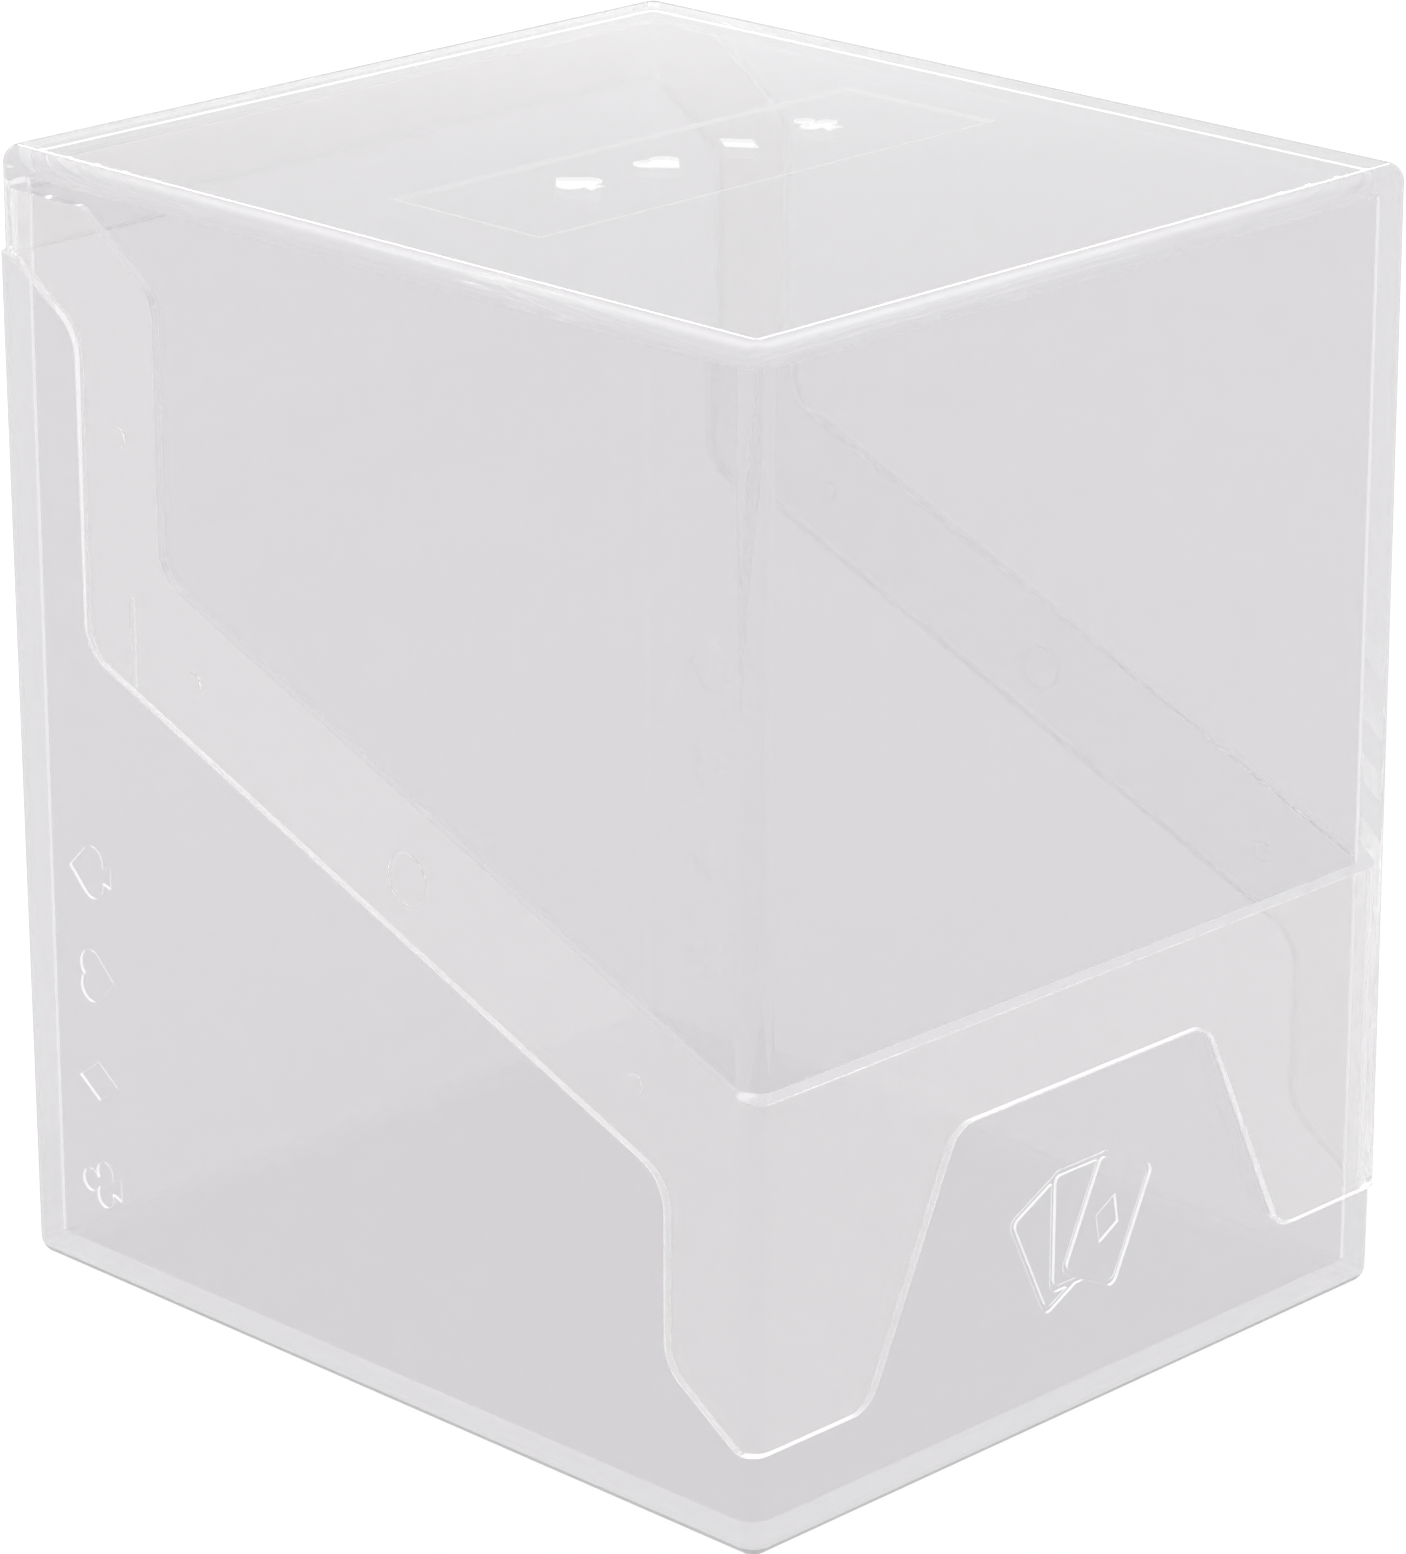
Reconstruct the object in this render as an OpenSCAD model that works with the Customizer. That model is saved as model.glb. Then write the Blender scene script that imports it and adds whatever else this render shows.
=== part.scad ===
// Two-piece card deck box: a tray that holds the cards and a lid that covers it.
// The outside walls of both are flush. The tray's rim is stepped: its outer half stops at a
// raked seam line, and its inner half runs on as a thin collar that the lid's skirt slides over.
// X is left to right, Y is front to back with the finger notch at -Y, and Z is up.
// The origin is the middle of the underside.

/* [Overall] */
// Outside width, left to right
box_w = 78; // [64:1:110]
// Outside depth, front to back
box_d = 88.5; // [72:0.5:140]
// Outside height with the lid on
box_h = 100; // [83:1:130]
// Rounding of every outside edge
edge_r = 1.6; // [1:0.1:2.4]

/* [Walls] */
// Full thickness of the side walls
wall_t = 2.6; // [2.2:0.1:3.4]
// Thickness of the tray's floor
floor_t = 2.6; // [1.8:0.1:4]
// Thickness of the lid's roof
roof_t = 2.6; // [1.8:0.1:4]
// Thickness of the lid's skirt where it covers the collar
skirt_t = 1.15; // [0.9:0.05:1.4]
// Clearance between the collar and the skirt, on each side
fit_gap = 0.25; // [0.2:0.05:0.4]
// Clearance between the two rims along the seam
seam_gap = 0.15; // [0.1:0.05:0.4]
// Corner radius of the card bay
bay_r = 1; // [0.5:0.1:2]
// Corner radius of the collar's outside
collar_r = 1.2; // [0.6:0.1:2]

/* [Seam] */
// Height of the seam on the front face
front_rim_z = 9; // [7:0.5:14]
// How far the seam on the back face lies below the top
back_rim_drop = 9.2; // [7:0.2:12]
// Distance of the seam's two upright stretches from the front and back faces
riser_inset = 10; // [8:0.5:14]
// Length of the short ramp beside each upright stretch
ramp_run = 8; // [5:0.5:9]
// Height of that ramp
ramp_rise = 5.2; // [3:0.2:7]
// Height where the raked stretch starts
rake_start_z = 30; // [24:1:34]
// Angle of the raked stretch
rake_angle = 22.2; // [14:0.2:25]
// Bend radius of the seam
seam_r = 4; // [2:0.5:5]

/* [Collar] */
// Height of the collar along the front
collar_front_z = 38.5; // [36:0.5:44]
// Distance from the seam's rear upright stretch to the collar's
collar_band = 9; // [6:0.5:12]
// Gap left between the collar's rear top and the roof
collar_roof_gap = 1.2; // [0.4:0.1:2]
// Length of the collar's rear ramp
collar_ramp_run = 8.7; // [5:0.1:10]
// Height of that ramp
collar_ramp_rise = 6.1; // [4:0.1:8]

/* [Finger notch] */
// Width of the notch at the seam's height
notch_low_w = 51; // [40:1:56]
// Width of the notch at its top
notch_high_w = 30.6; // [22:0.2:36]
// Height of the notch's top
notch_top_z = 30.5; // [24:0.5:33]
// Radius of the notch's corners
notch_r = 3; // [1.5:0.5:4]

/* [Snap nubs] */
// Diameter of the large nub on each side of the collar
snap_nub_d = 4; // [3:0.2:5]
// Diameter of the small locating nubs
pin_nub_d = 1.8; // [1.2:0.1:2.4]
// How far a nub or a rib stands proud of the collar
nub_proud = 0.2; // [0.1:0.02:0.2]
// Height of the nubs above the seam's rake
nub_lift = 5.4; // [3.5:0.1:7]
// Distance of the large nub in front of the box's middle
snap_nub_shift = 4.6; // [0:0.2:12]
// Distance of the front small nub behind the seam's front upright stretch
front_pin_inset = 4; // [2:0.2:8]
// Distance of the middle small nub in front of the seam's rear upright stretch
middle_pin_inset = 13; // [6:0.2:18]
// Distance of the rear small nub below the seam's back height
rear_pin_drop = 13.4; // [8:0.2:18]
// Distance of the rear small nub in front of the seam's rear upright stretch
rear_pin_inset = 4.2; // [2:0.1:7]
// Distance of the locating rib in front of the seam's rear upright stretch
rib_inset = 5.5; // [3:0.1:8]
// Width of the upright locating rib
rib_w = 0.6; // [0.4:0.1:1]
// Height of the upright locating rib
rib_h = 8; // [5:0.5:12]

/* [Marks] */
// Depth of every engraved mark
mark_depth = 0.3; // [0.2:0.05:0.4]
// Height of the card-fan mark on the front
fan_h = 15; // [10:0.5:16]
// Height of its middle above the underside
fan_z = 17.6; // [16:0.2:20]
// Height of a suit mark on the lid
lid_suit_h = 4.6; // [3:0.2:6]
// Spacing of the suit marks on the lid
lid_suit_pitch = 9.4; // [7:0.2:12]
// Height of a suit mark on the tray's sides
side_suit_h = 5; // [3:0.2:6]
// Spacing of the suit marks on the tray's sides
side_suit_pitch = 9.6; // [7:0.2:11]
// Height of the middle of the side marks
side_mark_z = 23.6; // [22:0.2:30]
// Distance of the side marks from the back face
side_mark_inset = 9.6; // [8:0.2:16]
// Width of the thinned window under the roof
window_w = 53.4; // [40:0.2:56]
// Depth of that window, front to back
window_d = 17.2; // [12:0.2:24]
// How much the window thins the roof
window_depth = 0.4; // [0.2:0.1:0.8]

/* [Hidden] */

// Fineness of the true arcs, and of the arcs in the seam's outline
$fn = 64;
ARC_STEP = 6;
// Length by which a cutting shape runs past what it cuts
PAST = 1;

bay_w = box_w - 2 * wall_t;
bay_d = box_d - 2 * wall_t;
skirt_w = box_w - 2 * skirt_t;
skirt_d = box_d - 2 * skirt_t;
collar_w = skirt_w - 2 * fit_gap;
collar_d = skirt_d - 2 * fit_gap;
front_y = -box_d / 2;
back_y = box_d / 2;
back_rim_z = box_h - back_rim_drop;
ceiling_z = box_h - roof_t;

// Seam: upright stretches, and the height at which the rake reaches the rear one
front_riser_y = front_y + riser_inset;
rear_riser_y = back_y - riser_inset;
rake_end_z = rake_start_z + (rear_riser_y - front_riser_y) * tan(rake_angle);

// Collar: its own rake is parallel to the seam's
collar_front_y = -collar_d / 2;
collar_riser_y = rear_riser_y - collar_band;
collar_rake_end_z = collar_front_z + (collar_riser_y - collar_front_y) * tan(rake_angle);
collar_back_z = ceiling_z - collar_roof_gap;

// Depth to which a nub's root is sunk into the collar
BUTTON_ROOT = 0.5;

// ---- Outlines ------------------------------------------------------------------------

// Turns a 2D vector by an angle
function turned(v, angle) =
    [v.x * cos(angle) - v.y * sin(angle), v.x * sin(angle) + v.y * cos(angle)];

// The points of the arc that rounds corner p between its neighbours a and b
function corner_arc(a, p, b, r) =
    let (
        to_a = (a - p) / norm(a - p),
        to_b = (b - p) / norm(b - p),
        half_angle = acos(to_a * to_b) / 2,
        reach = r / tan(half_angle),
        centre = p + (to_a + to_b) / norm(to_a + to_b) * r / sin(half_angle),
        first = p + to_a * reach - centre,
        last = p + to_b * reach - centre,
        sweep = (180 - 2 * half_angle) * sign(cross(first, last)),
        steps = max(2, ceil(abs(sweep) / ARC_STEP))
    )
    [for (i = [0:steps]) centre + turned(first, sweep * i / steps)];

// An outline from corners [x, y, radius], each rounded by its own radius
function rounded_outline(corners) =
    let (n = len(corners))
    [for (i = [0:n - 1])
        let (
            p = [corners[i].x, corners[i].y],
            a = [corners[(i + n - 1) % n].x, corners[(i + n - 1) % n].y],
            b = [corners[(i + 1) % n].x, corners[(i + 1) % n].y],
            r = corners[i][2]
        )
        each (r > 0 ? corner_arc(a, p, b, r) : [p])];

// Side view of the tray's full-thickness walls, as [y, z]
function seam_outline() = rounded_outline([
    [front_y - PAST, -PAST, 0],
    [back_y + PAST, -PAST, 0],
    [back_y + PAST, back_rim_z, 0],
    [rear_riser_y + ramp_run, back_rim_z, seam_r / 2],
    [rear_riser_y, back_rim_z - ramp_rise, seam_r],
    [rear_riser_y, rake_end_z, seam_r],
    [front_riser_y, rake_start_z, seam_r],
    [front_riser_y, front_rim_z + ramp_rise, seam_r],
    [front_riser_y - ramp_run, front_rim_z, seam_r / 2],
    [front_y - PAST, front_rim_z, 0],
]);

// Side view of the tray's collar, as [y, z]
function collar_outline() = rounded_outline([
    [front_y - PAST, floor_t / 2, 0],
    [back_y + PAST, floor_t / 2, 0],
    [back_y + PAST, collar_back_z, 0],
    [collar_riser_y + collar_ramp_run, collar_back_z, seam_r / 2],
    [collar_riser_y, collar_back_z - collar_ramp_rise, seam_r],
    [collar_riser_y, collar_rake_end_z, seam_r],
    [collar_front_y, collar_front_z, 0],
    [front_y - PAST, collar_front_z, 0],
]);

// Front view of the finger notch, as [x, z], with a clearance around it
function notch_outline(gap) = rounded_outline([
    [-box_w / 2 - PAST, front_rim_z - notch_r * 2, 0],
    [box_w / 2 + PAST, front_rim_z - notch_r * 2, 0],
    [box_w / 2 + PAST, front_rim_z + gap, 0],
    [notch_low_w / 2 + gap, front_rim_z + gap, notch_r],
    [notch_high_w / 2 + gap, notch_top_z + gap, notch_r],
    [-notch_high_w / 2 - gap, notch_top_z + gap, notch_r],
    [-notch_low_w / 2 - gap, front_rim_z + gap, notch_r],
    [-box_w / 2 - PAST, front_rim_z + gap, 0],
]);

module rounded_rect(w, d, r) {
    square([w - 2 * r, d], center = true);
    square([w, d - 2 * r], center = true);
    for (sx = [-1, 1], sy = [-1, 1]) {
        translate([sx * (w / 2 - r), sy * (d / 2 - r)]) circle(r = r);
    }
}

// ---- Solids the two parts are cut from -----------------------------------------------

// A straight-sided block with round upright edges
module upright_block(w, d, low_z, high_z, r) {
    translate([0, 0, low_z]) linear_extrude(high_z - low_z) rounded_rect(w, d, r);
}

// The closed box's outside, with every edge rounded
module outside_block() {
    r = edge_r;
    x = box_w / 2 - r;
    y = box_d / 2 - r;
    z = box_h / 2 - r;
    translate([0, 0, box_h / 2]) {
        cube([2 * x, 2 * y, box_h], center = true);
        cube([box_w, 2 * y, 2 * z], center = true);
        cube([2 * x, box_d, 2 * z], center = true);
        for (sx = [-1, 1], sy = [-1, 1]) {
            translate([sx * x, sy * y, 0]) cylinder(r = r, h = 2 * z, center = true);
        }
        for (sx = [-1, 1], sz = [-1, 1]) {
            translate([sx * x, 0, sz * z]) rotate([90, 0, 0]) {
                cylinder(r = r, h = 2 * y, center = true);
            }
        }
        for (sy = [-1, 1], sz = [-1, 1]) {
            translate([0, sy * y, sz * z]) rotate([0, 90, 0]) {
                cylinder(r = r, h = 2 * x, center = true);
            }
        }
        for (sx = [-1, 1], sy = [-1, 1], sz = [-1, 1]) {
            translate([sx * x, sy * y, sz * z]) sphere(r = r);
        }
    }
}

// Extrudes a [y, z] outline across the whole width
module across_width() {
    rotate([90, 0, 90]) linear_extrude(box_w + 2 * PAST, center = true) children();
}

// The space on the tray's side of the seam, moved up and forward by the clearance
module tray_side(gap) {
    translate([0, -gap, gap]) across_width() polygon(seam_outline());
    translate([0, front_y + wall_t, 0]) rotate([90, 0, 0]) {
        linear_extrude(wall_t + PAST) polygon(notch_outline(gap));
    }
}

// The space under the collar's edge, moved up and forward by the clearance
module collar_side(gap) {
    translate([0, -gap, gap]) across_width() polygon(collar_outline());
}

// ---- Engraved marks ------------------------------------------------------------------

// Each suit is one unit high and centred on the origin
module diamond_suit() {
    scale([0.72, 1]) rotate(45) square(1 / sqrt(2), center = true);
}

module heart_suit() {
    side = 0.56;
    translate([0, -0.1]) rotate(45) {
        square(side, center = true);
        translate([side / 2, 0]) circle(d = side);
        translate([0, side / 2]) circle(d = side);
    }
}

module suit_stem() {
    polygon([[-0.2, -0.5], [0.2, -0.5], [0.05, 0], [-0.05, 0]]);
}

module spade_suit() {
    translate([0, 0.08]) rotate(180) heart_suit();
    suit_stem();
}

module club_suit() {
    lobe = 0.42;
    for (angle = [90, 210, 330]) {
        translate([0, 0.06]) rotate(angle) translate([0.25, 0]) circle(d = lobe);
    }
    translate([0, 0.06]) circle(d = lobe / 2);
    suit_stem();
}

// The four suits in a row along X
module suit_row(suit_h, pitch) {
    translate([-1.5 * pitch, 0]) scale(suit_h) spade_suit();
    translate([-0.5 * pitch, 0]) scale(suit_h) heart_suit();
    translate([0.5 * pitch, 0]) scale(suit_h) diamond_suit();
    translate([1.5 * pitch, 0]) scale(suit_h) club_suit();
}

// Three fanned cards, each drawn as a line that stops where a nearer card covers it
FAN_TURN = 26;
fan_line = 0.5;
card_h = fan_h * 0.72;
card_w = card_h * 0.7;

module fan_place(i) {
    translate([0, -fan_h / 2]) rotate((1 - i) * FAN_TURN) translate([0, fan_h / 2]) children();
}

module fan_card(inset) {
    rounded_rect(card_w - 2 * inset, card_h - 2 * inset, 0.9 - inset / 2);
}

module card_fan() {
    for (i = [0:2]) {
        difference() {
            fan_place(i) fan_card(0);
            fan_place(i) fan_card(fan_line);
            for (nearer = [i + 1:1:2]) {
                fan_place(nearer) fan_card(0);
            }
        }
    }
    fan_place(2) scale(card_h * 0.4) diamond_suit();
}

// ---- Nubs and ribs on the collar -----------------------------------------------------

// A low button on the YZ plane, pointing to +X: its root is sunk into the wall, its rim bevelled
module button(d, proud) {
    rotate([0, 90, 0]) {
        translate([0, 0, -BUTTON_ROOT]) cylinder(d = d, h = BUTTON_ROOT + proud / 2);
        translate([0, 0, proud / 2]) cylinder(d1 = d, d2 = d - 2 * proud, h = proud / 2);
    }
}

// The place on the collar's raked band, above the seam's rake, at a distance y from the middle
function on_band(y) =
    [0, y, rake_start_z + (y - front_riser_y) * tan(rake_angle) + nub_lift];

// Places its children, drawn for the +X side, on both sides of the collar
module on_both_sides() {
    for (turn = [0, 1]) {
        mirror([turn, 0, 0]) translate([collar_w / 2, 0, 0]) children();
    }
}

module collar_nubs() {
    pins = [
        on_band(front_riser_y + front_pin_inset),
        on_band(rear_riser_y - middle_pin_inset),
        [0, rear_riser_y - rear_pin_inset, back_rim_z - rear_pin_drop],
    ];
    rib_foot = on_band(rear_riser_y - rib_inset) - [nub_proud, rib_w / 2, nub_lift];
    on_both_sides() {
        translate(on_band(-snap_nub_shift)) button(snap_nub_d, nub_proud);
        for (pin = pins) {
            translate(pin) button(pin_nub_d, nub_proud);
        }
        translate(rib_foot) cube([2 * nub_proud, rib_w, rib_h]);
    }
}

// Shallow dimples inside the skirt that the large nubs rest in
module skirt_dimples() {
    on_both_sides() {
        translate(on_band(-snap_nub_shift) + [fit_gap, 0, 0]) {
            button(snap_nub_d + 2 * fit_gap, nub_proud);
        }
    }
}

// ---- The two parts -------------------------------------------------------------------

module tray_body() {
    intersection() {
        outside_block();
        tray_side(0);
    }
    intersection() {
        upright_block(collar_w, collar_d, 0, box_h, collar_r);
        collar_side(0);
    }
    collar_nubs();
}

module tray() {
    color("gainsboro", 0.5) difference() {
        tray_body();
        upright_block(bay_w, bay_d, floor_t, box_h + PAST, bay_r);
        translate([0, front_y, fan_z]) rotate([90, 0, 0]) {
            linear_extrude(2 * mark_depth, center = true) card_fan();
        }
        for (turn = [0, 1]) {
            mirror([turn, 0, 0]) translate([box_w / 2, back_y - side_mark_inset, side_mark_z]) {
                rotate([0, 90, 0]) linear_extrude(2 * mark_depth, center = true) {
                    suit_row(side_suit_h, side_suit_pitch);
                }
            }
        }
    }
}

module lid() {
    color("whitesmoke", 0.5) difference() {
        outside_block();
        tray_side(seam_gap);
        intersection() {
            upright_block(skirt_w, skirt_d, -PAST, ceiling_z, collar_r);
            collar_side(seam_gap);
        }
        upright_block(bay_w, bay_d, -PAST, ceiling_z, bay_r);
        skirt_dimples();
        translate([0, 0, ceiling_z]) {
            cube([window_w, window_d, 2 * window_depth], center = true);
        }
        translate([0, 0, box_h]) linear_extrude(2 * mark_depth, center = true) {
            suit_row(lid_suit_h, lid_suit_pitch);
        }
    }
}

tray();
lid();
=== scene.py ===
# %% [markdown]
# # A clear card deck box
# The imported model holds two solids: a tray for the cards, and a deep lid that slides down over
# the tray's thin collar. Here both become moulded pieces in clear plastic, on a plain pale
# floor. Everything is in metres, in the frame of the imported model.

# %% Load the frame
import math

import bmesh
import bpy
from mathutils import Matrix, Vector


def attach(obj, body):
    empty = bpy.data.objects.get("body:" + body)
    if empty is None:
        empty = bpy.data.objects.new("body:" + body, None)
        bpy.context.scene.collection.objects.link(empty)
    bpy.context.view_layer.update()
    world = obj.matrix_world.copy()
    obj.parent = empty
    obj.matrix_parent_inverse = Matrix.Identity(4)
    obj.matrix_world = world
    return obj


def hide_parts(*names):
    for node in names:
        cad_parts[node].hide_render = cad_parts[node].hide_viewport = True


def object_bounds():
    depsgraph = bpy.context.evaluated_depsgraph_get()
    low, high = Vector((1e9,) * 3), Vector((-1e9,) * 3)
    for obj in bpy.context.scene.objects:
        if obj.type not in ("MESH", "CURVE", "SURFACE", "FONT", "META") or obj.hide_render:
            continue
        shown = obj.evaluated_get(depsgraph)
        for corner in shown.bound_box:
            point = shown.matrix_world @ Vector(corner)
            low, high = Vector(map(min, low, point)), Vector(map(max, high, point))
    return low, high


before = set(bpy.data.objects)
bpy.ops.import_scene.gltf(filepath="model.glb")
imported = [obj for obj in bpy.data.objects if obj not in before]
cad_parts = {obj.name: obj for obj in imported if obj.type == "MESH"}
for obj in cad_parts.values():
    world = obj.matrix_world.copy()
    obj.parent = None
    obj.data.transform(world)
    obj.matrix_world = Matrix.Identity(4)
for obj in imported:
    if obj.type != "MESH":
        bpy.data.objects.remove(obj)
cad_low, cad_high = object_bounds()
box_size = cad_high - cad_low
box_middle = (cad_low + cad_high) / 2
half_width, half_depth, height = box_size.x / 2, box_size.y / 2, box_size.z
MM = 0.001
print("box, mm:", [round(side / MM, 1) for side in box_size])

# %% [markdown]
# ## The camera
# A small box looks its best through a long lens, from well back, because its upright edges
# then stay nearly parallel. The camera looks down a little on the near left corner, so that
# the front with its finger notch is on the right and the left side on the left. The box sits
# slightly off the lens axis, which a small shift gives without tilting the uprights.

# %% Place the camera
CAMERA_AZIMUTH = math.radians(-45.53)
CAMERA_ELEVATION = math.radians(19.16)
CAMERA_DISTANCE = 0.5524
LENS_MM = 150.6
SHIFT_ACROSS, SHIFT_UP = 0.0022, -0.0331
CLIP_NEAR, CLIP_FAR = 0.01, 50.0


def direction(azimuth, elevation):
    """Unit vector from the box towards an azimuth (0 is the front) and an elevation."""
    flat = math.cos(elevation)
    return Vector((math.sin(azimuth) * flat, -math.cos(azimuth) * flat, math.sin(elevation)))


def aim_at_box(thing, azimuth, elevation, distance):
    """Puts a camera or a lamp at a distance from the box's middle, looking at it."""
    back = direction(azimuth, elevation)
    thing.location = box_middle + back * distance
    thing.rotation_euler = (-back).to_track_quat("-Z", "Y").to_euler()
    bpy.context.scene.collection.objects.link(thing)


def add_camera():
    """Makes the camera and sets it as the scene's own."""
    data = bpy.data.cameras.new("camera")
    data.lens = LENS_MM
    data.shift_x = SHIFT_ACROSS
    data.shift_y = SHIFT_UP
    data.clip_start = CLIP_NEAR
    data.clip_end = CLIP_FAR
    camera = bpy.data.objects.new("camera", data)
    aim_at_box(camera, CAMERA_AZIMUTH, CAMERA_ELEVATION, CAMERA_DISTANCE)
    bpy.context.scene.camera = camera
    return camera


camera = add_camera()
print("camera at, mm:", [round(c / MM) for c in camera.location])

# %% [markdown]
# ## The floor
# Clear plastic has next to no colour of its own: it shows what is behind it. So the floor is
# large, plain and nearly white, and the box is seen against it. A noise pattern moves its paint
# by two hundredths, because a painted board is never one even tone.

# %% Helpers for node trees


def add_node(tree, kind, **settings):
    """Adds a node, then sets its attributes, and its inputs by name."""
    node = tree.nodes.new(kind)
    for key, value in settings.items():
        if hasattr(node, key) and key not in node.inputs:
            setattr(node, key, value)
        else:
            node.inputs[key].default_value = value
    return node


def fresh_material(name):
    """A material with an empty node tree."""
    material = bpy.data.materials.new(name)
    material.use_nodes = True
    material.node_tree.nodes.clear()
    return material


# %% Floor
FLOOR_SIDE = 6.0
FLOOR_DROP = 0.05 * MM
FLOOR_ROUGHNESS = 0.9
FLOOR_GRAIN = 40.0
FLOOR_TONES = ((0.93, 0.93, 0.935, 1), (0.95, 0.95, 0.95, 1))


def floor_material():
    """Matt paint whose tone wanders slowly between the two floor tones."""
    material = fresh_material("pale_floor")
    tree = material.node_tree
    output = add_node(tree, "ShaderNodeOutputMaterial")
    paint = add_node(tree, "ShaderNodeBsdfPrincipled", Roughness=FLOOR_ROUGHNESS)
    grain = add_node(tree, "ShaderNodeTexNoise", Scale=FLOOR_GRAIN, Detail=3.0)
    place = add_node(tree, "ShaderNodeTexCoord")
    tint = add_node(tree, "ShaderNodeValToRGB")
    for stop, tone in zip(tint.color_ramp.elements, FLOOR_TONES):
        stop.color = tone
    tree.links.new(place.outputs["Object"], grain.inputs["Vector"])
    tree.links.new(grain.outputs["Fac"], tint.inputs["Fac"])
    tree.links.new(tint.outputs["Color"], paint.inputs["Base Color"])
    tree.links.new(paint.outputs["BSDF"], output.inputs["Surface"])
    return material


def add_floor():
    """One square face, a hair under the box so that the two never share a plane."""
    half = FLOOR_SIDE / 2
    mesh = bpy.data.meshes.new("floor")
    signs = ((-1, -1), (1, -1), (1, 1), (-1, 1))
    corners = [(x * half, y * half, -FLOOR_DROP) for x, y in signs]
    mesh.from_pydata(corners, [], [(0, 1, 2, 3)])
    mesh.materials.append(floor_material())
    floor = bpy.data.objects.new("floor", mesh)
    bpy.context.scene.collection.objects.link(floor)


add_floor()
print("floor side, m:", FLOOR_SIDE)

# %% [markdown]
# ## The light
# A clear box is lit as glass is: by a bright, even surround that its faces can mirror. The
# roof is seen at a low angle, so it mirrors the part of the surround just above the horizon.
# That part goes from bright to dim within a few degrees, which makes the far end of the roof
# lighter than the near end. One soft box stands behind, a third of the way up. It draws the
# thin light lines along the rounded top edges, because they mirror that part of the room.

# %% Surround
# Each stop is how far up the eye looks (0 is level, 1 is straight up) and the light there.
SURROUND = ((0.0, 0.98), (0.18, 1.0), (0.215, 1.25), (0.25, 0.9), (1.0, 1.13))
NEW_STOP = 0.5


def add_surround():
    """A world whose brightness depends on the height that is looked at."""
    world = bpy.data.worlds.new("studio")
    bpy.context.scene.world = world
    world.use_nodes = True
    tree = world.node_tree
    sky = tree.nodes["Background"]
    place = add_node(tree, "ShaderNodeTexCoord")
    split = add_node(tree, "ShaderNodeSeparateXYZ")
    rise = add_node(tree, "ShaderNodeValToRGB")
    rise.color_ramp.interpolation = "EASE"
    stops = rise.color_ramp.elements
    while len(stops) < len(SURROUND):
        stops.new(NEW_STOP)
    for stop, (upward, light) in zip(stops, SURROUND):
        stop.position = upward
        stop.color = (light, light, light, 1)
    tree.links.new(place.outputs["Generated"], split.inputs["Vector"])
    tree.links.new(split.outputs["Z"], rise.inputs["Fac"])
    tree.links.new(rise.outputs["Color"], sky.inputs["Color"])


add_surround()
print("surround, height looked at and light:", SURROUND)

# %% Soft box
LAMP_AZIMUTH, LAMP_ELEVATION = math.radians(134), math.radians(32.5)
LAMP_DISTANCE = 2.5
LAMP_WIDE, LAMP_TALL = math.radians(34), math.radians(8)
LAMP_BRIGHTNESS = 4.0


def add_soft_box():
    """An area lamp of two given angles across, as bright as its surface should look."""
    data = bpy.data.lights.new("edge_box", "AREA")
    data.shape = "RECTANGLE"
    data.size = 2 * LAMP_DISTANCE * math.tan(LAMP_WIDE / 2)
    data.size_y = 2 * LAMP_DISTANCE * math.tan(LAMP_TALL / 2)
    data.energy = LAMP_BRIGHTNESS * math.pi * data.size * data.size_y
    lamp = bpy.data.objects.new("edge_box", data)
    aim_at_box(lamp, LAMP_AZIMUTH, LAMP_ELEVATION, LAMP_DISTANCE)
    return lamp


lamp = add_soft_box()
bpy.context.scene.view_settings.view_transform = "Standard"
print("soft box, m:", round(lamp.data.size, 2), "x", round(lamp.data.size_y, 2))

# %% [markdown]
# ## Turns that a ray may take
# Light that enters a clear wall at its end runs along inside it, mirrored from face to face,
# and leaves at the other end of the wall. That takes more turns than the usual limit allows,
# and each ray that is stopped early leaves a black streak, so the limits go up.

# %% Set the limits
RAY_TURNS = 64
rays = bpy.context.scene.cycles
rays.max_bounces = RAY_TURNS
rays.glossy_bounces = RAY_TURNS
rays.transmission_bounces = RAY_TURNS
rays.transparent_max_bounces = RAY_TURNS
print("turns:", RAY_TURNS)

# %% [markdown]
# ## The plastic's skin
# The box is moulded in clear plastic with a faint grey, slightly lilac tint. A moulded skin is
# never quite flat: it has slow ripples where the plastic shrank, and a fine bloom that makes
# it shine a little less in places. Both could be painted maps, but noise on Object coordinates
# needs no unwrapping and fits every piece. They are one node group, because every finish uses
# them.

# %% Skin of a moulding
# The group's inputs and their usual values. Dullness is the least roughness of a skin, and
# Bloom is how much more it may have in places. Each finish sets its own Dullness.
SKIN_INPUTS = (("Ripple Scale", 60.0), ("Bloom Scale", 900.0), ("Dullness", 0.04), ("Bloom", 0.02))


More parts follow.
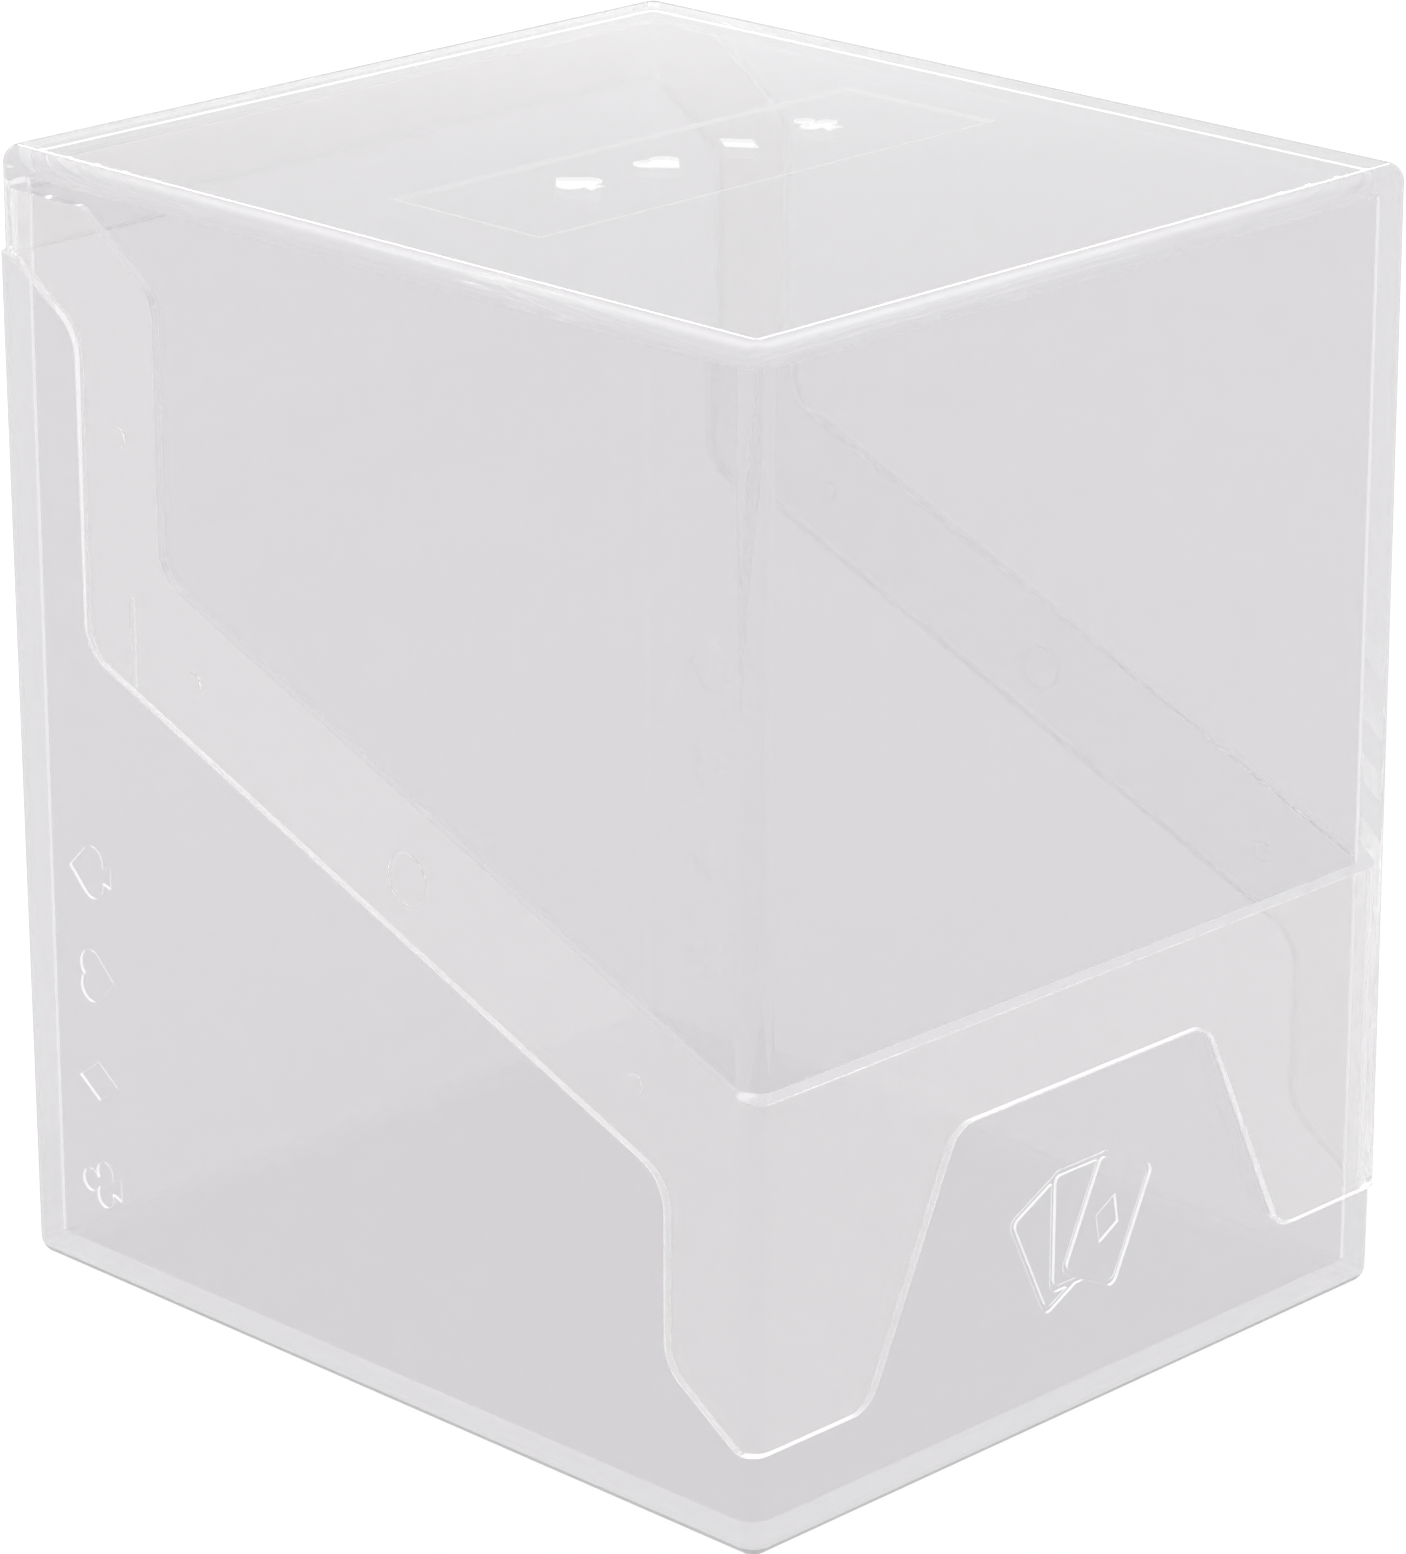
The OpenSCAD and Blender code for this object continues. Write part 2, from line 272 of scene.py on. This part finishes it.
def skin_group():
    """Gives a skin's roughness and the height of its ripples."""
    group = bpy.data.node_groups.new("mould_skin", "ShaderNodeTree")
    sockets = group.interface
    for name, value in SKIN_INPUTS:
        socket = sockets.new_socket(name, in_out="INPUT", socket_type="NodeSocketFloat")
        socket.default_value = value
    for name in ("Roughness", "Height"):
        sockets.new_socket(name, in_out="OUTPUT", socket_type="NodeSocketFloat")
    given = add_node(group, "NodeGroupInput")
    result = add_node(group, "NodeGroupOutput")
    place = add_node(group, "ShaderNodeTexCoord")
    ripple = add_node(group, "ShaderNodeTexNoise", Detail=1.0)
    bloom = add_node(group, "ShaderNodeTexNoise", Detail=3.0)
    share = add_node(group, "ShaderNodeMath", operation="MULTIPLY_ADD")
    link = group.links.new
    for noise, scale in ((ripple, "Ripple Scale"), (bloom, "Bloom Scale")):
        link(place.outputs["Object"], noise.inputs["Vector"])
        link(given.outputs[scale], noise.inputs["Scale"])
    link(bloom.outputs["Fac"], share.inputs[0])
    link(given.outputs["Bloom"], share.inputs[1])
    link(given.outputs["Dullness"], share.inputs[2])
    link(share.outputs["Value"], result.inputs["Roughness"])
    link(ripple.outputs["Fac"], result.inputs["Height"])
    return group


mould_skin = skin_group()
print("skin group inputs:", [name for name, value in SKIN_INPUTS])

# %% [markdown]
# ## Steps that the finishes share
# Sums in a node tree are long to write out, so three small helpers do them: a Math node
# between two values, a Map Range node that rises and then stays level, and a Mix Shader node.

# %% Helpers for shares


def math_step(tree, operation, first, second):
    """A Math node between two values, each a number or an output to be linked."""
    node = add_node(tree, "ShaderNodeMath", operation=operation)
    for socket, value in zip(node.inputs, (first, second)):
        if isinstance(value, (int, float)):
            socket.default_value = value
        else:
            tree.links.new(value, socket)
    return node.outputs["Value"]


def span(tree, value, low, high, most):
    """Rises from 0 at low to most at high, and stays there."""
    node = add_node(tree, "ShaderNodeMapRange")
    for name, number in (("From Min", low), ("From Max", high), ("To Max", most)):
        node.inputs[name].default_value = number
    tree.links.new(value, node.inputs["Value"])
    return node.outputs["Result"]


def mixed(tree, share, first, second):
    """Mixes two shaders: only the first at share 0, only the second at share 1."""
    mix = add_node(tree, "ShaderNodeMixShader")
    for socket, source in zip(mix.inputs, (share, first, second)):
        tree.links.new(source, socket)
    return mix.outputs["Shader"]


# %% [markdown]
# ## Milk inside the plastic
# Real clear plastic is a little milky. That doesn't show in light that goes straight through
# a wall, but light that runs along inside one, or turns in it many times, comes out soft and
# even. A volume could scatter that light, but it needs one closed mesh in one material. Here
# that scattered light is painted instead: a share of even glow, from an Emission shader that
# gives light of its own, is mixed in where a ray meets the inside of a face, by how long its
# run was or how often it has turned. A run longer than LONGEST_RUN can't have been in the
# plastic.

# %% Painted glow
# Tones and shares of the painted glow: an emission that stands in for light that milky plastic
# scatters.
PAINTED_GLOW_SHORT, PAINTED_GLOW_LONG = (0.84, 0.832, 0.842, 1), (0.76, 0.752, 0.762, 1)
RUN_FROM, RUN_TO, RUN_GLOW_SHARE = 3.3 * MM, 14 * MM, 0.35
LATE_TURN, LATE_GLOW_SHARE = 7, 0.35
LONGEST_RUN = 0.5


def with_painted_glow(tree, wall, ray):
    """Mixes a painted glow, an emission for the light that milky plastic scatters, into a wall's
    shader, by the run inside and the number of turns.
    """
    length = ray.outputs["Ray Length"]
    inside = add_node(tree, "ShaderNodeNewGeometry").outputs["Backfacing"]
    run = span(tree, length, RUN_FROM, RUN_TO, 1.0)
    late = math_step(tree, "GREATER_THAN", ray.outputs["Ray Depth"], LATE_TURN)
    late = math_step(tree, "MULTIPLY", late, LATE_GLOW_SHARE)
    share = math_step(tree, "MAXIMUM", math_step(tree, "MULTIPLY", run, RUN_GLOW_SHARE), late)
    in_plastic = math_step(tree, "LESS_THAN", length, LONGEST_RUN)
    share = math_step(tree, "MULTIPLY", share, in_plastic)
    share = math_step(tree, "MULTIPLY", share, inside)
    tone = add_node(tree, "ShaderNodeValToRGB")
    for stop, color in zip(tone.color_ramp.elements, (PAINTED_GLOW_SHORT, PAINTED_GLOW_LONG)):
        stop.color = color
    glow = add_node(tree, "ShaderNodeEmission")
    tree.links.new(run, tone.inputs["Fac"])
    tree.links.new(tone.outputs["Color"], glow.inputs["Color"])
    return mixed(tree, share, wall, glow.outputs["Emission"])


# %% [markdown]
# ## Dark lines at the outline and the foot
# A clear object on white needs something dark to stand out, so a studio hangs black cards just
# outside the view, and the rounded outline bends them into a thin dark line. Along the foot
# there is one more, from the narrow shade under the box. Real cards would have to move with
# every view, so the outline and the foot are darkened in the finish instead, and only where a
# face is the first thing that the eye meets: there the Ray Depth is 0.

# %% Shade
SHADE = (0.15, 0.147, 0.15, 1)
OUTLINE_FROM, OUTLINE_TO, OUTLINE_SHARE = 0.79, 0.93, 0.85
FOOT_SHARE = 0.4
FIRST_MEETING = 0.5


def shaded(tree, wall, ray, share):
    """Darkens a face that is seen with nothing in front of it, by a share of SHADE."""
    direct = math_step(tree, "LESS_THAN", ray.outputs["Ray Depth"], FIRST_MEETING)
    dark = add_node(tree, "ShaderNodeBsdfDiffuse", Color=SHADE)
    return mixed(tree, math_step(tree, "MULTIPLY", direct, share), wall, dark.outputs["BSDF"])


def outlined(tree, wall, ray):
    """Shades a wall where it turns away from the eye."""
    facing = add_node(tree, "ShaderNodeLayerWeight").outputs["Facing"]
    edge = span(tree, facing, OUTLINE_FROM, OUTLINE_TO, OUTLINE_SHARE)
    return shaded(tree, wall, ray, edge)


def grounded(tree, wall, ray):
    """Shades the foot by the same share all over."""
    return shaded(tree, wall, ray, FOOT_SHARE)


# %% [markdown]
# ## One finish of the plastic
# A Principled shader with its Transmission Weight up is the plastic's surface, and its colour
# is what one face of a wall lets through. Haze is the share that isn't see-through but
# scatters light from the surface. Lamps and the floor's own light have to reach through the
# box as well, or it would stand on a black patch, so for those rays the wall is plainly
# transparent.

# %% Make a finish
PLASTIC_IOR = 1.49
LET_THROUGH = 0.99
RIPPLE_HEIGHT = 0.002 * MM


def plastic_finish(name, tint, haze, dullness, shading=None):
    """A material of the plastic, with its tint, its haze, its dullness and any dark line."""
    material = fresh_material(name)
    tree = material.node_tree
    link = tree.links.new
    output = add_node(tree, "ShaderNodeOutputMaterial")
    wall = add_node(tree, "ShaderNodeBsdfPrincipled", IOR=PLASTIC_IOR)
    wall.inputs["Base Color"].default_value = (*tint, 1)
    wall.inputs["Transmission Weight"].default_value = 1.0 - haze
    skin = add_node(tree, "ShaderNodeGroup", node_tree=mould_skin, Dullness=dullness)
    bump = add_node(tree, "ShaderNodeBump", Strength=1.0, Distance=RIPPLE_HEIGHT)
    link(skin.outputs["Roughness"], wall.inputs["Roughness"])
    link(skin.outputs["Height"], bump.inputs["Height"])
    link(bump.outputs["Normal"], wall.inputs["Normal"])
    ray = add_node(tree, "ShaderNodeLightPath")
    # Every finish gets the painted glow: an emission that stands in for light scattered inside
    # milky plastic.
    seen = with_painted_glow(tree, wall.outputs["BSDF"], ray)
    if shading:
        seen = shading(tree, seen, ray)
    clear = add_node(tree, "ShaderNodeBsdfTransparent")
    clear.inputs["Color"].default_value = (LET_THROUGH, LET_THROUGH, LET_THROUGH, 1)
    shadow, diffuse = ray.outputs["Is Shadow Ray"], ray.outputs["Is Diffuse Ray"]
    unseen = math_step(tree, "MAXIMUM", shadow, diffuse)
    link(mixed(tree, unseen, seen, clear.outputs["BSDF"]), output.inputs["Surface"])
    material.cycles.emission_sampling = "NONE"
    return material


# %% [markdown]
# ## The five finishes
# Most of the box is clear wall, with its painted dark line at the outline. The skirt and the
# collar rub on each other, so their mating faces have a faint haze, and hardly any tint,
# because each is only half a wall thick. The lid's rim is matt, which is what draws the seam
# as a light line. The sunk marks and the window's step are the most matt, as if the tool was
# etched there. The foot is clear wall with its painted dark line of contact shade. The
# painted glow that stands in for the milk shows in all of them, since they are one plastic.

# %% Finishes
# Each row gives the name, tint, haze, dullness, and the dark line if there is one.
CLEAR, MATING, RIM, MARK, FOOT = range(5)
finishes = [
    plastic_finish("clear_wall", (0.81, 0.80, 0.811), 0.0, 0.03, outlined),
    plastic_finish("mating_face", (0.985, 0.980, 0.977), 0.10, 0.05),
    plastic_finish("rim_edge", (0.93, 0.92, 0.93), 0.55, 0.35),
    plastic_finish("mark_edge", (0.99, 0.985, 0.99), 0.75, 0.20),
    plastic_finish("foot_edge", (0.81, 0.80, 0.811), 0.0, 0.05, grounded),
]
print("finishes:", [finish.name for finish in finishes])

# %% [markdown]
# ## From solid to moulding
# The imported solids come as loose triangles. A copy of each is joined up first and its flat
# regions are merged, so that an edge of the moulding is an edge of the mesh, which the
# rounding of the rims needs.

# %% Joined copy of a solid
WELD_DISTANCE = 0.001 * MM
FLAT_ANGLE = math.radians(0.5)


def joined_copy(node):
    """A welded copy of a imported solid's mesh, with every finish in its slots."""
    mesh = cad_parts[node].data.copy()
    mesh.name = node + "_moulding"
    mesh.materials.clear()
    shell = bmesh.new()
    shell.from_mesh(mesh)
    bmesh.ops.remove_doubles(shell, verts=shell.verts, dist=WELD_DISTANCE)
    bmesh.ops.dissolve_limit(
        shell, angle_limit=FLAT_ANGLE, verts=shell.verts, edges=shell.edges
    )
    shell.to_mesh(mesh)
    shell.free()
    for finish in finishes:
        mesh.materials.append(finish)
    return mesh


# %% [markdown]
# ## Which face gets which finish
# The faces could be picked by hand, but then a change in the solid would upset the choice. So
# each face gets its finish from where it lies: how deep it is under the outer skin, how far it
# is from the top or the bottom, and whether it faces the wall's way or runs across the wall.

# %% Finish of each face
MARK_DEPTH, FOOT_HEIGHT = 0.45 * MM, 0.9 * MM
MATING_FROM, MATING_TO = 0.8 * MM, 2.0 * MM
PLATE = 2.7 * MM
CORNER = 4 * MM
WALL_SKIN, PLATE_SKIN = 0.002 * MM, 0.01 * MM
ACROSS, ALONG = 0.5, 0.6
UNDERSIDE = -0.99


def outward(point):
    """The direction of the outer wall that is nearest to a point, and the point's depth."""
    to_side, to_end = half_width - abs(point.x), half_depth - abs(point.y)
    if to_side < CORNER and to_end < CORNER:
        way = Vector((point.x / abs(point.x), point.y / abs(point.y), 0)).normalized()
    elif to_side < to_end:
        way = Vector((math.copysign(1, point.x), 0, 0))
    else:
        way = Vector((0, math.copysign(1, point.y), 0))
    return way, min(to_side, to_end)


def plate_finish(under_plate, depth, normal):
    """Finish of a face in the roof or the floor: the marks and the window's step are matt."""
    if depth < PLATE or under_plate < PLATE_SKIN:
        return CLEAR
    return MARK if abs(normal.z) < ACROSS or under_plate < MARK_DEPTH else CLEAR


def face_finish(point, normal, is_lid):
    """Finish of the face with this middle and normal."""
    way, depth = outward(point)
    under_plate = min(point.z, height - point.z)
    if point.z < FOOT_HEIGHT and depth < PLATE and normal.z > UNDERSIDE:
        return FOOT
    if under_plate < PLATE:
        return plate_finish(under_plate, depth, normal)
    facing = abs(normal.dot(way))
    if depth < MARK_DEPTH:
        return MARK if WALL_SKIN < depth and facing < ACROSS else CLEAR
    if MATING_FROM < depth < MATING_TO and facing > ALONG:
        return MATING
    if facing < ACROSS and depth < PLATE:
        return RIM if is_lid and depth < MATING_FROM else MATING
    return CLEAR


def set_finishes(mesh, is_lid):
    """Gives every face its finish, and prints how many faces each finish has."""
    count = [0] * len(finishes)
    for polygon in mesh.polygons:
        polygon.material_index = face_finish(polygon.center, polygon.normal, is_lid)
        count[polygon.material_index] += 1
    print(mesh.name, "faces by finish:", dict(zip((f.name for f in finishes), count)))


# %% [markdown]
# ## Rounded rims
# A moulded rim has no knife edge: the corner of the tool is rounded, and the lid's lower rim
# is rounded most, because fingers push it up. The Bevel modifier rounds the edges that have a
# weight, and its new faces take the rim's finish. A weight of 1 is the largest round. The
# modifier may clamp its width, or the new faces would fold over each other at short edges.

# %% Weights of the rim edges
LID_ROUND, RIM_ROUND = 0.8 * MM, 0.2 * MM
RIM_CORNER = math.radians(50)
OUTER_SKIN = 0.05 * MM
ROUND_STEPS = 4


def weigh_rims(mesh, outer_round):
    """Gives a bevel weight to the sharp edges of the faces that run across the wall."""
    shell = bmesh.new()
    shell.from_mesh(mesh)
    weight = shell.edges.layers.float.new("bevel_weight_edge")
    total = 0
    for edge in shell.edges:
        if len(edge.link_faces) != 2 or edge.calc_face_angle(0) < RIM_CORNER:
            continue
        middle = (edge.verts[0].co + edge.verts[1].co) / 2
        way, depth = outward(middle)
        crossings = [abs(face.normal.dot(way)) for face in edge.link_faces]
        finish = edge.link_faces[crossings.index(min(crossings))].material_index
        if min(crossings) > ACROSS or finish not in (RIM, MATING):
            continue
        edge[weight] = (outer_round if depth < OUTER_SKIN else RIM_ROUND) / LID_ROUND
        total += edge.calc_length()
    shell.to_mesh(mesh)
    shell.free()
    print(mesh.name, "rounded rim, mm:", round(total / MM))


def round_rims(piece, finish):
    """Adds the Bevel modifier that rounds the weighed edges."""
    bevel = piece.modifiers.new("rounded_rims", "BEVEL")
    bevel.limit_method = "WEIGHT"
    bevel.width = LID_ROUND
    bevel.segments = ROUND_STEPS
    bevel.use_clamp_overlap = True
    bevel.material = finish


# %% [markdown]
# ## Draft
# A part this deep only comes out of its mould if its outside tapers. The tray is widest at its
# top and the lid at its open lower end, a third of a millimetre on each side, which is why the
# tray stands a hair proud of the lid at the back of the seam and the lid a hair proud of the
# tray at the front. The rule is the same for every point, so a small Geometry Nodes tree does
# it: the nearer a point lies to the outer skin, the more of the draft it takes.

# %% Draft tree
DRAFT = 0.33 * MM
SKIN_FROM, SKIN_TO = 0.7 * MM, 1.1 * MM
LENGTH_INPUTS = ("Half Width", "Half Depth", "Height", "Draft", "Skin From", "Skin To")


def draft_sockets(sockets):
    """Adds the tree's inputs and its output."""
    sockets.new_socket("Geometry", in_out="INPUT", socket_type="NodeSocketGeometry")
    for name in LENGTH_INPUTS:
        sockets.new_socket(name, in_out="INPUT", socket_type="NodeSocketFloat")
    sockets.new_socket("Narrow At Top", in_out="INPUT", socket_type="NodeSocketBool")
    for finish in finishes:
        sockets.new_socket(finish.name, in_out="INPUT", socket_type="NodeSocketMaterial")
    sockets.new_socket("Geometry", in_out="OUTPUT", socket_type="NodeSocketGeometry")


def draft_shift(tree, given):
    """The way each point moves: inwards, by its share of the draft."""
    link = tree.links.new
    place = add_node(tree, "ShaderNodeSeparateXYZ")
    link(add_node(tree, "GeometryNodeInputPosition").outputs["Position"], place.inputs["Vector"])
    x, y, z = (place.outputs[axis] for axis in "XYZ")
    to_side = math_step(tree, "SUBTRACT", given["Half Width"], math_step(tree, "ABSOLUTE", x, 0))
    to_end = math_step(tree, "SUBTRACT", given["Half Depth"], math_step(tree, "ABSOLUTE", y, 0))
    from_top = math_step(tree, "SUBTRACT", given["Height"], z)
    depth = math_step(tree, "MINIMUM", to_side, to_end)
    depth = math_step(tree, "MINIMUM", depth, math_step(tree, "MINIMUM", z, from_top))
    share = add_node(tree, "ShaderNodeMapRange")
    link(depth, share.inputs["Value"])
    link(given["Skin From"], share.inputs["From Min"])
    link(given["Skin To"], share.inputs["From Max"])
    share.inputs["To Min"].default_value = 1.0
    share.inputs["To Max"].default_value = 0.0
    narrow = add_node(tree, "GeometryNodeSwitch", input_type="FLOAT")
    link(given["Narrow At Top"], narrow.inputs["Switch"])
    link(math_step(tree, "DIVIDE", from_top, given["Height"]), narrow.inputs["False"])
    link(math_step(tree, "DIVIDE", z, given["Height"]), narrow.inputs["True"])
    inset = math_step(tree, "MULTIPLY", share.outputs["Result"], narrow.outputs["Output"])
    inset = math_step(tree, "MULTIPLY", inset, given["Draft"])
    inset = math_step(tree, "MULTIPLY", inset, -1)
    shift = add_node(tree, "ShaderNodeCombineXYZ")
    for axis, along, half in (("X", x, "Half Width"), ("Y", y, "Half Depth")):
        part = math_step(tree, "MULTIPLY", inset, math_step(tree, "DIVIDE", along, given[half]))
        link(part, shift.inputs[axis])
    return shift.outputs["Vector"]


def set_materials(tree, given, geometry):
    """One Set Material node for each finish, on the faces that already have its number."""
    link = tree.links.new
    index = add_node(tree, "GeometryNodeInputMaterialIndex").outputs["Material Index"]
    for number, finish in enumerate(finishes):
        same = add_node(tree, "FunctionNodeCompare", data_type="INT", operation="EQUAL")
        link(index, same.inputs[2])
        same.inputs[3].default_value = number
        painted = add_node(tree, "GeometryNodeSetMaterial")
        link(geometry, painted.inputs["Geometry"])
        link(same.outputs["Result"], painted.inputs["Selection"])
        link(given[finish.name], painted.inputs["Material"])
        geometry = painted.outputs["Geometry"]
    return geometry


def draft_tree():
    """Moves the points, then ends in Realize Instances and Set Material."""
    tree = bpy.data.node_groups.new("mould_draft", "GeometryNodeTree")
    draft_sockets(tree.interface)
    given = add_node(tree, "NodeGroupInput").outputs
    link = tree.links.new
    moved = add_node(tree, "GeometryNodeSetPosition")
    link(given["Geometry"], moved.inputs["Geometry"])
    link(draft_shift(tree, given), moved.inputs["Offset"])
    real = add_node(tree, "GeometryNodeRealizeInstances")
    link(moved.outputs["Geometry"], real.inputs["Geometry"])
    painted = set_materials(tree, given, real.outputs["Geometry"])
    link(painted, add_node(tree, "NodeGroupOutput").inputs["Geometry"])
    return tree


mould_draft = draft_tree()
print("draft tree nodes:", len(mould_draft.nodes))

# %% Give a moulding its draft


def give_draft(piece, narrow_at_top):
    """Adds the draft tree as a modifier, and sets its inputs."""
    taper = piece.modifiers.new("draft", "NODES")
    taper.node_group = mould_draft
    lengths = (half_width, half_depth, height, DRAFT, SKIN_FROM, SKIN_TO)
    values = dict(zip(LENGTH_INPUTS, lengths))
    values["Narrow At Top"] = narrow_at_top
    values.update((finish.name, finish) for finish in finishes)
    for item in mould_draft.interface.items_tree:
        if item.in_out == "INPUT" and item.name in values:
            taper[item.identifier] = values[item.name]


def made_plain(piece):
    """Turns a piece with its modifiers into a plain mesh."""
    evaluated = piece.evaluated_get(bpy.context.evaluated_depsgraph_get())
    mesh = bpy.data.meshes.new_from_object(evaluated)
    piece.modifiers.clear()
    piece.data = mesh


# %% [markdown]
# ## Smooth shading
# Curved corners are made of narrow flat faces. Smooth shading hides their joints, but on the
# big flat walls it would bend the normals near every corner. So edges above an angle stay
# sharp, and a Weighted Normal modifier lets the large faces keep their own normals.

# %% Smooth a moulding
SHARP_ANGLE = math.radians(35)
LARGE_FACE_WEIGHT = 100


def smooth(piece):
    """Shades a piece smooth, apart from its sharp edges and its large flat faces."""
    mesh = piece.data
    for name in ("custom_normal", "sharp_edge", "sharp_face"):
        if name in mesh.attributes:
            mesh.attributes.remove(mesh.attributes[name])
    for polygon in mesh.polygons:
        polygon.use_smooth = True
    mesh.set_sharp_from_angle(angle=SHARP_ANGLE)
    even = piece.modifiers.new("even_normals", "WEIGHTED_NORMAL")
    even.keep_sharp = True
    even.weight = LARGE_FACE_WEIGHT


# %% [markdown]
# ## Both mouldings
# The tray and the lid go through the same steps. They differ in how round the outer edge of
# the rim is, and in which end is the narrow one. Each then rides on its own body, and its
# imported solid is hidden.

# %% Make both mouldings


def moulding(node, outer_round, narrow_at_top):
    """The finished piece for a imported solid. The lid is the one that is narrow at its top."""
    mesh = joined_copy(node)
    set_finishes(mesh, narrow_at_top)
    weigh_rims(mesh, outer_round)
    piece = bpy.data.objects.new(node + "_moulding", mesh)
    bpy.context.scene.collection.objects.link(piece)
    round_rims(piece, RIM if narrow_at_top else MATING)
    give_draft(piece, narrow_at_top)
    made_plain(piece)
    smooth(piece)
    print(piece.name, "faces:", len(piece.data.polygons))
    return piece


for node, body, slot, outer_round, narrow_at_top in (
    ("tray", "tray_body", "tray_plastic", RIM_ROUND, False),
    ("lid", "lid_body", "lid_plastic", LID_ROUND, True),
):
    piece = moulding(node, outer_round, narrow_at_top)
    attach(piece, body)
    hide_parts(node)
